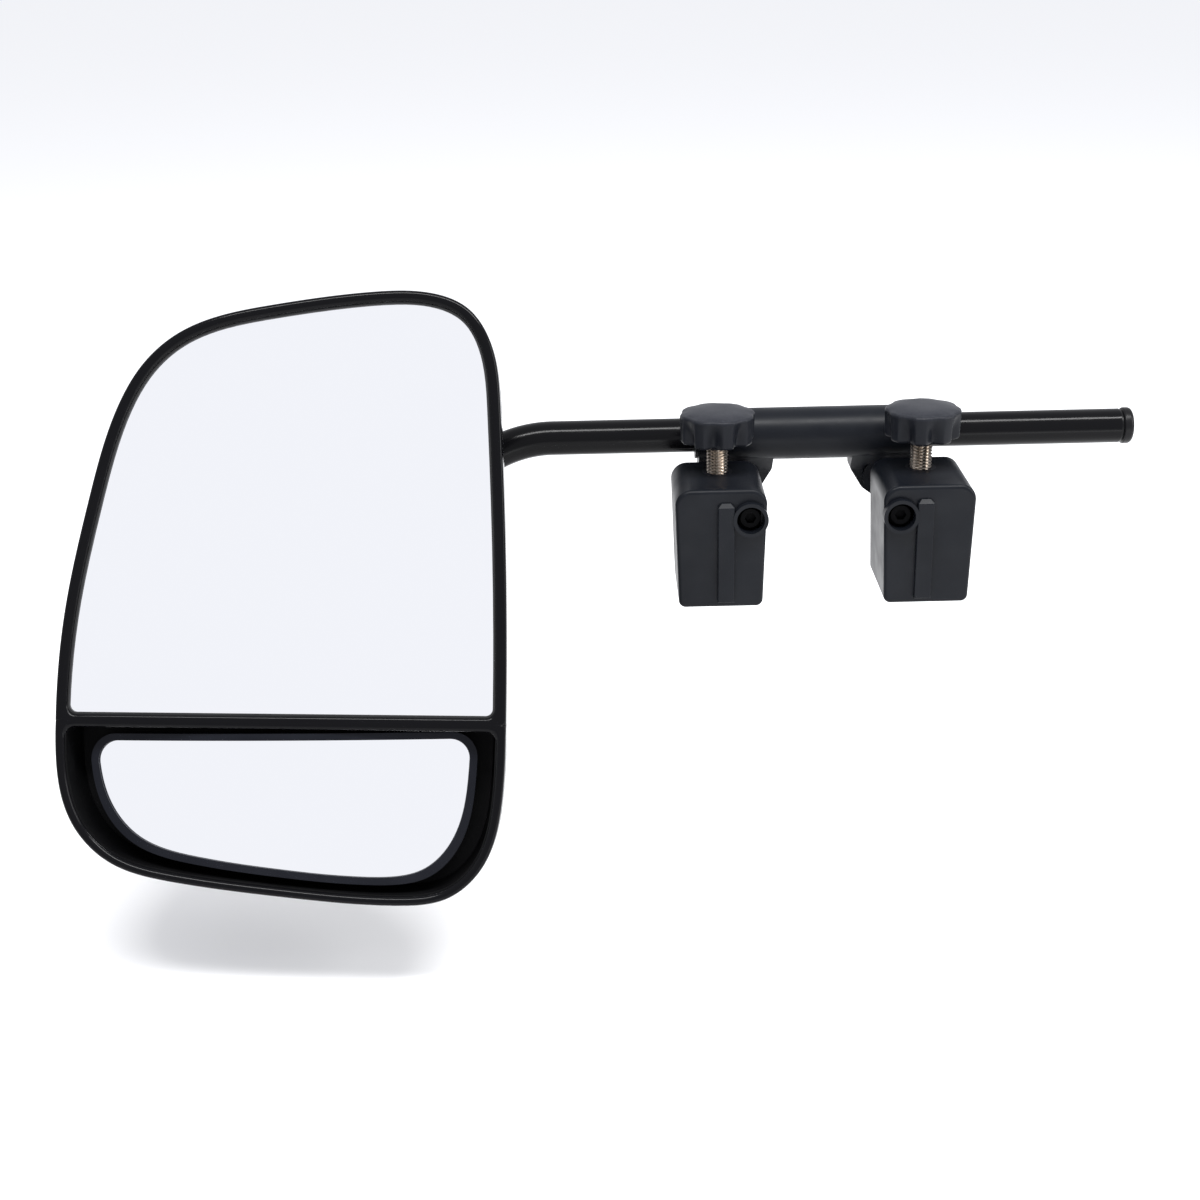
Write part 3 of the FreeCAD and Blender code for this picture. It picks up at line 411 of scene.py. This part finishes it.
def moulded(name, colour, roughness, grain=0.25, scale=900.0, specular=0.3):
    """Moulded plastic: a fine spark-eroded grain, faint flow marks and slightly uneven gloss."""
    mix = Finish(name, colour, roughness, specular=specular)
    lift = tuple(min(1.0, part * 1.35 + 0.002) for part in colour)
    mix.drive("Base Color", mix.blend(mix.noise(38, 4), colour, lift, 0.3, 0.75))
    mix.drive("Roughness", mix.blend(mix.noise(60, 4), roughness - 0.05, roughness + 0.06))
    return mix.bump(mix.noise(scale, 2), grain, 0.00006)


def lamplit(name, colour, lit_top_colour, roughness, low, high):
    """Moulded plastic paler on top: painted light from the lamp above, the colour going with the height in
    metres.
    """
    mix = moulded(name, colour, roughness, 0.35, 1100, 0.12)
    height = mix.add("SeparateXYZ", [("Vector", mix.place)]).outputs["Z"]
    span = {"From Min": low, "From Max": high}
    share = mix.add("MapRange", [("Value", height)], **span).outputs["Result"]
    # Painted light: the paler top colour takes over with the height, broken up by fine noise.
    lit_share = mix.add("Math", [(0, share), (1, mix.noise(1400, 3))], operation="MULTIPLY").outputs["Value"]
    return mix.drive("Base Color", mix.blend(lit_share, colour, lit_top_colour, 0.1, 0.5))


def glossy(name, colour, roughness, peel, scale, specular):
    """Gloss black paint or plastic: a clear top with a faint orange peel and fine handling haze."""
    mix = Finish(name, colour, roughness, specular=specular)
    mix.drive("Roughness", mix.blend(mix.noise(34, 5), roughness, roughness + 0.07))
    return mix.bump(mix.noise(scale, 2), peel, 0.00008)


def metal(name, colour, roughness):
    """Turned or ground metal: fine marks, and a colour that warms and cools a little."""
    mix = Finish(name, colour, roughness, metallic=1.0)
    warm = tuple(min(1.0, part * factor) for part, factor in zip(colour, (1.08, 0.98, 0.88)))
    mix.drive("Base Color", mix.blend(mix.noise(90, 4), colour, warm))
    mix.drive("Roughness", mix.blend(mix.noise(300, 3), roughness - 0.06, roughness + 0.1))
    return mix.bump(mix.noise(600, 2), 0.2, 0.00005)


def reflection_striped(name, colour, roughness):
    """Plated thread with painted reflections: dull and bright stripes that run along it stand for reflected
    light.
    """
    mix = Finish(name, colour, roughness, metallic=1.0)
    reflection_stripe = mix.noise(520, 2, (1, 1, 0.03))
    dull, bright = (tuple(min(1.0, part * factor) for part in colour) for factor in (0.4, 1.9))
    # Painted reflection: the plating's colour darkened and brightened in stripes along the thread; the same
    # stripes drive a bump.
    mix.drive("Base Color", mix.blend(reflection_stripe, dull, bright, 0.42, 0.6))
    mix.drive("Roughness", mix.blend(mix.noise(200), roughness, roughness + 0.15))
    return mix.bump(reflection_stripe, 0.3, 0.0001)


def silvered(name, colour, roughness):
    """Silvered glass: a bright metal under a thin clear coat, with the faintest haze."""
    mix = Finish(name, colour, roughness, metallic=1.0, coat=0.3)
    return mix.drive("Roughness", mix.blend(mix.noise(25, 4), roughness, roughness + 0.015))


FINISHES = {}


def finish(name):
    """A finish that the panel's operators have already mixed."""
    return FINISHES[name].material


# ---------------------------------------------------------------- properties


def length(name, description, default):
    """A length property, kept in metres."""
    return bpy.props.FloatProperty(name=name, description=description, default=default, unit="LENGTH",
                                   precision=5)


def colour(name, description, default):
    """A colour property."""
    return bpy.props.FloatVectorProperty(name=name, description=description, default=default, subtype="COLOR",
                                         size=3, min=0.0, max=1.0)


class MirrorSizes(bpy.types.PropertyGroup):
    """Sizes of the pieces that are finished here."""

    tube_diameter: length("Tube diameter", "Outside diameter of the arm's tube", 0.016)
    tube_wall: length("Tube wall", "Thickness of the tube's wall", 0.0015)
    bend_radius: length("Bend radius", "Radius of the arm's bend at its centre line", 0.060)
    stud_diameter: length("Stud diameter", "Outside diameter of the clamp screw", 0.010)
    stud_pitch: length("Stud pitch", "Distance from thread to thread", 0.0015)
    knob_diameter: length("Knob diameter", "Diameter over the knob's lobes", 0.0344)
    flute_depth: length("Flute depth", "How far the flutes go into the knob's edge", 0.0034)


class MirrorColours(bpy.types.PropertyGroup):
    """Colours of the finishes."""

    enamel: colour("Arm enamel", "Gloss black of the bent tube", (0.0024, 0.0024, 0.0029))
    clamp: colour("Clamp plastic", "Satin black of the bridge and jaws", (0.0030, 0.0037, 0.0055))
    knob: colour("Knob plastic", "Satin black of the knobs", (0.0040, 0.0048, 0.0072))
    # The knobs' paler top colour is painted light from the lamp above.
    knob_top: colour("Knob top", "Paler black of the knobs' handled tops", (0.0165, 0.0176, 0.0225))
    head: colour("Head plastic", "Gloss black of the head", (0.0020, 0.0020, 0.0026))
    well: colour("Well plastic", "Deep black of the well", (0.0012, 0.0012, 0.0015))
    holder: colour("Holder plastic", "Black of the small glass's holder", (0.0040, 0.0045, 0.0070))
    rubber: colour("Rubber", "Black of the pads and the seal", (0.008, 0.008, 0.0085))
    plate: colour("Plated steel", "Warm bright plating of the studs", (0.34, 0.30, 0.26))
    steel: colour("Bright steel", "Plain steel of pins and rods", (0.56, 0.56, 0.57))
    brass: colour("Brass", "Brass of nuts and bushes", (0.72, 0.52, 0.25))
    glass: colour("Glass", "Silvering of both glasses", (0.93, 0.935, 0.95))
    floor: colour("Floor", "Pale floor of the studio", (0.93, 0.93, 0.93))


class MirrorCamera(bpy.types.PropertyGroup):
    """The camera's place and lens."""

    place: bpy.props.FloatVectorProperty(name="Place", description="Where the camera stands",
                                         subtype="TRANSLATION", default=(-0.0549, -0.8103, 0.3063), size=3)
    aim: bpy.props.FloatVectorProperty(name="Aim", description="The point in the middle of its view",
                                       subtype="TRANSLATION", default=(-0.0549, -0.0222, -0.0121), size=3)
    roll: bpy.props.FloatProperty(name="Roll", description="Turn about the line of sight", subtype="ANGLE",
                                  default=math.radians(-1.3))
    lens: bpy.props.FloatProperty(name="Lens", description="Focal length in millimetres", default=54.0)


def sizes():
    """The scene's sizes in millimetres, by name."""
    group = bpy.context.scene.mirror_sizes
    return {name: getattr(group, name) / MM for name in MirrorSizes.__annotations__}


# ---------------------------------------------------------------- arm


def arm_line():
    """The arm's centre line about the arm's axis: a straight run, an arc and a straight run."""
    return rounded(ARM_CORNERS, sizes()["bend_radius"], steps=40)


def swept_tube():
    """A ring carried along the arm's line: out with the tube's outer radius, and back with the bore's."""
    size = sizes()
    run = arm_line()
    along = np.gradient(run, axis=0)
    along /= np.linalg.norm(along, axis=1)[:, None]
    along[0], along[-1] = (run[1] - run[0]), (run[-1] - run[-2])
    along /= np.linalg.norm(along, axis=1)[:, None]
    upward = np.stack([-along[:, 1], along[:, 0]], 1)
    angle = np.linspace(0, 2 * math.pi, RING_STEPS, endpoint=False)
    layers = []
    outer = size["tube_diameter"] / 2
    inner = outer - size["tube_wall"]
    for radius, line, lift in ((outer, run, upward), (inner, run[::-1], upward[::-1])):
        middle = np.stack([line[:, 0], np.zeros(len(line)), line[:, 1]], 1)[:, None]
        up = np.stack([lift[:, 0], np.zeros(len(line)), lift[:, 1]], 1)[:, None]
        ring = np.cos(angle)[None, :, None] * up + np.sin(angle)[None, :, None] * np.array((0, 1, 0))
        layers.append(middle + radius * ring)
    local = np.concatenate(layers) * MM
    return grid(TUBE_AXIS + local @ TURNED, wrap_rows=True)


def build_arm():
    """The enamelled tube and its end plug."""
    piece("arm_tube_bent", [swept_tube()], "arm", ["arm_tube"], finish("enamel"))
    tip, end = ((corner.x - TUBE_AXIS[0]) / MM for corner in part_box("end_plug"))
    seat = end - PLUG_HEAD
    section = [(0, tip), (STEM_TIP, tip), (STEM_ROOT, seat - 0.1), (PLUG_NECK, seat),
               (PLUG_NECK, seat + 1.0), (PLUG_BEAD, seat + 1.6), (PLUG_BEAD, end), (0, end)]
    profile = rounded(section, (0, 0.4, 0.1, 0.2, 0.3, 0.9, 2.1, 0))
    piece("end_plug_cap", [turned(profile, TUBE_AXIS, (1, 0, 0))], "arm", ["end_plug"],
          finish("plug"))
    dress("casting", ["ball_knuckle"])
    dress("steel", ["knuckle_pin"])


def dress(name, nodes):
    """Give CAD nodes a finish."""
    for node in nodes:
        slots = frame["nodes"][node].data.materials
        slots.clear()
        slots.append(finish(name))


# ---------------------------------------------------------------- clamps


def both(*names):
    """Each name for the left and the right clamp."""
    return [f"{name}_{side}" for name in names for side in SIDES]


def knob_surface(foot, side):
    """A lobed knob: the edge's radius is the lobes' radius less a rounded flute between each two lobes. The
    flutes are scoops, deepest near the foot, that run out below the domed top and towards the middle."""
    size = sizes()
    reach = size["knob_diameter"] / 2
    low, high = (corner.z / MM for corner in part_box(f"knob_{side}"))
    base, shoulder = low + FOOT_HEIGHT, high - CROWN
    dome = [(reach * share, high - CROWN * share ** 3.2) for share in np.linspace(0.9, 0, 16)]
    section = [(0, low), (FOOT_RADIUS, low), (FOOT_RADIUS, base), (reach - LEAN, base), (reach, shoulder),
               (reach * 0.9, high - 1.2)]
    profile = rounded(section, (0, 0.3, 0.5, 1.5, 1.6, 0))
    rise = np.linspace(base + 1.7, shoulder - 1.4, 14)
    upright = np.stack([reach - LEAN + LEAN * (rise - base) / (shoulder - base), rise], 1)
    split = int(np.argmax(profile[:, 1] > rise[0]))
    profile = np.concatenate([profile[:split], upright, profile[split:-1], dome])
    angle = np.linspace(0, 2 * math.pi, 320, endpoint=False)
    first = math.radians(FIRST_FLUTE[side])
    valley = np.clip((np.cos((angle - first) * LOBES) + 0.5) / 1.5, 0, 1) ** 1.15
    radius, height = profile[:, 0][:, None], profile[:, 1][:, None]
    inwards = smooth_step((radius / reach - 0.66) / 0.3)
    upwards = 1 - 0.8 * smooth_step((height - base - 2.5) / (high - base - 3.5))
    edge = radius - size["flute_depth"] * valley[None] * inwards * upwards
    return grid((foot + round_axis(edge, angle, height))[1:-1], cap_first=True, cap_last=True)


def round_axis(radius, angle, height):
    """Points in metres from radii, angles and heights about an upright axis."""
    height = np.broadcast_to(height, radius.shape)
    return np.stack([radius * np.cos(angle), radius * np.sin(angle), height], -1) * MM


def smooth_step(share):
    """From 0 to 1 with level ends."""
    share = np.clip(share, 0, 1)
    return share * share * (3 - 2 * share)


def thread_surface(foot, low, high):
    """A left-hand thread: the radius falls from crest to root as a flattened triangle of the height over the
    pitch, plus the angle's share of a turn. Both ends are chamfered and closed."""
    size = sizes()
    pitch = size["stud_pitch"]
    crest = size["stud_diameter"] / 2
    angle = np.linspace(0, 2 * math.pi, 48, endpoint=False)[None]
    height = np.arange(low, high, pitch / 8)[:, None]
    phase = height / pitch + angle / (2 * math.pi)
    depth = THREAD_DEPTH * pitch * np.clip(np.abs(2 * (phase % 1) - 1) * 1.25 - 0.12, 0, 1)
    near_end = np.clip(1 - np.minimum(height - low, high - height) / CHAMFER_LENGTH, 0, 1)
    radius = crest - depth - near_end * CHAMFER_DEPTH
    return grid(foot + round_axis(radius, angle, height), cap_first=True, cap_last=True)


def build_clamps():
    """Both clamps: knobs and threaded studs, and the finishes of the jaws and the bridge."""
    for side in SIDES:
        foot = STUDS[side] * (1, 1, 0)
        piece(f"knob_{side}_lobed", [knob_surface(foot, side)], f"knob_{side}",
              [f"knob_{side}"], finish("knob"), 50)
        low, high = (corner.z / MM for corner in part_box(f"stud_{side}"))
        piece(f"stud_{side}_threaded", [thread_surface(foot, low, high)], f"knob_{side}",
              [f"stud_{side}"], finish("plate"), 60)
    dress("clamp", both("jaw_housing", "jaw_cover") + ["bridge_bar"])
    dress("rubber", both("fixed_jaw_pad", "moving_jaw_pad"))
    dress("steel", both("guide_rod", "rod_pin", "thrust_collar"))
    # Painted shade: the screw and ramp seen down the boss hole are made near black so the hole reads dark.
    dress("oxide", both("ramp_screw", "pull_ramp"))
    dress("nylon", both("tube_liner", "stud_bush", "wedge"))
    dress("brass", both("wedge_nut", "rod_bush", "thrust_washer"))


# ---------------------------------------------------------------- head


def off_line(points, line):
    """How far points stand above or below a sloping line."""
    (left, left_z), (right, right_z) = line
    return np.abs(points[:, 1] - left_z - (right_z - left_z) / (right - left) * (points[:, 0] - left))


def bezel_ring(outer, opening, centre, line):
    """Half of the bezel: a closed strip round an opening. A point across it goes from the outer loop to the
    opening, and its depth follows a rounded rim on the head's edge and a rounded bar along the divider."""
    along = outer[off_line(outer, line) < 0.05]
    ends = along[[np.argmin(along[:, 0]), np.argmax(along[:, 0])]]
    corners = np.arctan2(ends[:, 1] - centre[1], ends[:, 0] - centre[0])
    first, last = around(outer, centre, corners), around(opening, centre, corners)
    from_edge = np.minimum(first[:, 0] - ends[0, 0], ends[1, 0] - first[:, 0])
    bar = (1 - smooth_step(off_line(first, line) / BAR_FADE)) * smooth_step(from_edge / END_FADE)
    sections = []
    for share, rim, beam in RIM_SECTION:
        sections.append((share, rim * (1 - bar) + beam * bar))
    back = JOIN_Y * (1 - bar) + (RIM_Y + BAR_DROP) * bar
    lip = np.full(len(first), RIM_Y + LIP_DROP)
    sections += [(1.0, lip), (0.5, lip), (0.5, back), (0.02, back), (0.0, back - 0.3)]
    loops = [first + (last - first) * share for share, _ in sections]
    return grid(head_points(loops, np.array([depth for _, depth in sections])), wrap_rows=True)


def build_bezel():
    """The glossy bezel: a ring round the main glass and one round the well, which meet along the divider."""
    edge = closed_curve(OUTLINE)
    middle = tuple((x, (z + foot) / 2) for (x, z), (_, foot) in zip(DIVIDER_TOP, DIVIDER_FOOT))
    glass_opening = clipped(inset(edge, GLASS_RIM), DIVIDER_TOP, True, GLASS_CORNER)
    well_opening = clipped(inset(edge, WELL_RIM), DIVIDER_FOOT, False, WELL_CORNER)
    upper = bezel_ring(clipped(edge, middle, True), glass_opening, UPPER_CENTRE, middle)
    lower = bezel_ring(clipped(edge, middle, False), well_opening, WELL_CENTRE, middle)
    piece("head_bezel", [upper, lower], "head", ["front_bezel"], finish("head"), 40)


def build_head():
    """The head: the bezel, and the finishes of the shell, glasses, seal, well, holder and ball socket."""
    build_bezel()
    dress("head", ["rear_shell"])
    dress("well", ["well_pan", "pivot_stud", "glass_carrier"])
    dress("nylon", ["rear_cup", "front_cup", "pivot_cup", "socket_plate"])
    dress("steel", ["socket_springs", "socket_screws", "shell_screws"])
    dress("seal", ["glass_seal"])
    dress("glass", ["main_glass", "blind_spot_glass"])
    dress("holder", ["blind_spot_holder"])


# ---------------------------------------------------------------- studio


def area_light(name, place, aim, size, power):
    """A soft rectangular lamp that faces a point and isn't seen by the camera."""
    lamp = bpy.data.lights.new(name, "AREA")
    lamp.shape = "RECTANGLE"
    lamp.size, lamp.size_y = size
    lamp.energy = power
    item = bpy.data.objects.new(name, lamp)
    item.location = place
    item.rotation_euler = (Vector(aim) - Vector(place)).to_track_quat("-Z", "Y").to_euler()
    item.visible_camera = False
    bpy.context.scene.collection.objects.link(item)


def build_studio():
    """The pale floor, the lamps, the surroundings and the camera."""
    scene = bpy.context.scene
    across = np.linspace(-FLOOR_HALF, FLOOR_HALF, FLOOR_LINES)
    level = np.full((FLOOR_LINES, FLOOR_LINES), CAD_BOX[0][2] - FLOOR_DROP)
    floor_points = np.stack([*np.meshgrid(across, across, indexing="ij"), level], -1)
    number = np.arange(FLOOR_LINES ** 2).reshape(FLOOR_LINES, FLOOR_LINES)
    quads = np.stack([number[:-1, :-1], number[1:, :-1], number[1:, 1:], number[:-1, 1:]], -1).reshape(-1, 4)
    mesh = bpy.data.meshes.new("studio_floor")
    mesh.from_pydata(floor_points.reshape(-1, 3), [], quads.tolist())
    mesh.materials.append(finish("floor"))
    floor = bpy.data.objects.new("studio_floor", mesh)
    scene.collection.objects.link(floor)

    world = bpy.data.worlds.new("studio")
    world.use_nodes = True
    world.node_tree.nodes["Background"].inputs["Color"].default_value = SKY
    world.node_tree.nodes["Background"].inputs["Strength"].default_value = 1.0
    scene.world = world
    scene.view_settings.view_transform = "Standard"

    for lamp in LAMPS:
        area_light(*lamp)

    view = scene.mirror_camera
    lens = bpy.data.cameras.new("camera")
    lens.sensor_width = 36
    lens.lens = view.lens
    lens.clip_start = 0.01
    camera = bpy.data.objects.new("camera", lens)
    camera.location = view.place
    sight = (Vector(view.aim) - Vector(view.place)).to_track_quat("-Z", "Y")
    camera.rotation_euler = sight.to_euler()
    camera.rotation_euler.rotate_axis("Z", view.roll)
    scene.collection.objects.link(camera)
    scene.camera = camera


# ---------------------------------------------------------------- operators


class MixFinishes(bpy.types.Operator):
    """Mix the materials of every piece"""

    bl_idname = "mirror.mix_finishes"
    bl_label = "Finishes"

    def execute(self, context):
        chosen = context.scene.mirror_colours
        tone = {name: tuple(getattr(chosen, name)) for name in MirrorColours.__annotations__}
        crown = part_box("knob_left")[1].z
        FINISHES.update(
            enamel=glossy("arm_enamel", tone["enamel"], 0.12, 0.3, 420, 0.09),
            casting=moulded("cast_black", tone["enamel"], 0.4, 0.35, 500, 0.15),
            plug=moulded("plug_plastic", tone["enamel"], 0.3, 0.1, 900, 0.12),
            clamp=moulded("clamp_plastic", tone["clamp"], 0.36, 0.25, 900, 0.10),
            # The knob pales over the last millimetres below its crown: painted light from above.
            knob=lamplit("knob_plastic", tone["knob"], tone["knob_top"], 0.42, crown - 0.004, crown - 0.001),
            nylon=moulded("bearing_nylon", tone["holder"], 0.35, 0.1),
            rubber=moulded("pad_rubber", tone["rubber"], 0.75, 0.4, 700, 0.3),
            # The studs' plating carries painted reflection stripes.
            plate=reflection_striped("zinc_steel", tone["plate"], 0.26),
            steel=metal("bright_steel", tone["steel"], 0.28),
            # Painted shade for the boss hole: the well's deep black with almost no sheen.
            oxide=moulded("black_oxide", tone["well"], 0.6, 0.1, 900, 0.03),
            brass=metal("turned_brass", tone["brass"], 0.28),
            head=glossy("head_gloss", tone["head"], 0.1, 0.12, 260, 0.09),
            well=moulded("well_black", tone["well"], 0.55, 0.2, 800, 0.08),
            holder=moulded("holder_black", tone["holder"], 0.3, 0.08, 900, 0.1),
            seal=moulded("seal_rubber", tone["rubber"], 0.45, 0.15, 700),
            glass=silvered("mirror_glass", tone["glass"], 0.012),
            floor=Finish("studio_floor", tone["floor"], 0.9, specular=0.0),
        )
        return {"FINISHED"}


class BuildArm(bpy.types.Operator):
    """Build the arm's tube and end plug"""

    bl_idname = "mirror.build_arm"
    bl_label = "Arm"

    def execute(self, context):
        build_arm()
        return {"FINISHED"}


class BuildClamps(bpy.types.Operator):
    """Build the knobs and studs, and finish the jaws and the bridge"""

    bl_idname = "mirror.build_clamps"
    bl_label = "Clamps"

    def execute(self, context):
        build_clamps()
        return {"FINISHED"}


class BuildHead(bpy.types.Operator):
    """Build the head with its glasses"""

    bl_idname = "mirror.build_head"
    bl_label = "Head"

    def execute(self, context):
        build_head()
        return {"FINISHED"}


class BuildStudio(bpy.types.Operator):
    """Set up the floor, the lamps and the camera"""

    bl_idname = "mirror.build_studio"
    bl_label = "Studio"

    def execute(self, context):
        build_studio()
        return {"FINISHED"}


STEPS = (MixFinishes, BuildArm, BuildClamps, BuildHead, BuildStudio)


class MirrorPanel(bpy.types.Panel):
    """The mirror's steps, sizes and colours in the sidebar"""

    bl_idname = "VIEW3D_PT_towing_mirror"
    bl_label = "Towing mirror"
    bl_space_type = "VIEW_3D"
    bl_region_type = "UI"
    bl_category = "Mirror"

    def draw(self, context):
        for step in STEPS:
            self.layout.operator(step.bl_idname)
        for group in (context.scene.mirror_sizes, context.scene.mirror_colours, context.scene.mirror_camera):
            box = self.layout.box()
            for name in type(group).__annotations__:
                box.prop(group, name)


CLASSES = (MirrorSizes, MirrorColours, MirrorCamera, *STEPS, MirrorPanel)


def register():
    """Register the classes and hang the properties on the scene."""
    for cls in CLASSES:
        bpy.utils.register_class(cls)
    bpy.types.Scene.mirror_sizes = bpy.props.PointerProperty(type=MirrorSizes)
    bpy.types.Scene.mirror_colours = bpy.props.PointerProperty(type=MirrorColours)
    bpy.types.Scene.mirror_camera = bpy.props.PointerProperty(type=MirrorCamera)


def unregister():
    """Take the properties and classes away."""
    for name in ("mirror_camera", "mirror_colours", "mirror_sizes"):
        delattr(bpy.types.Scene, name)
    for cls in reversed(CLASSES):
        bpy.utils.unregister_class(cls)


def main():
    """Build everything in order."""
    register()
    for step in STEPS:
        family, action = step.bl_idname.split(".")
        getattr(getattr(bpy.ops, family), action)()


if __name__ == "__main__":
    main()
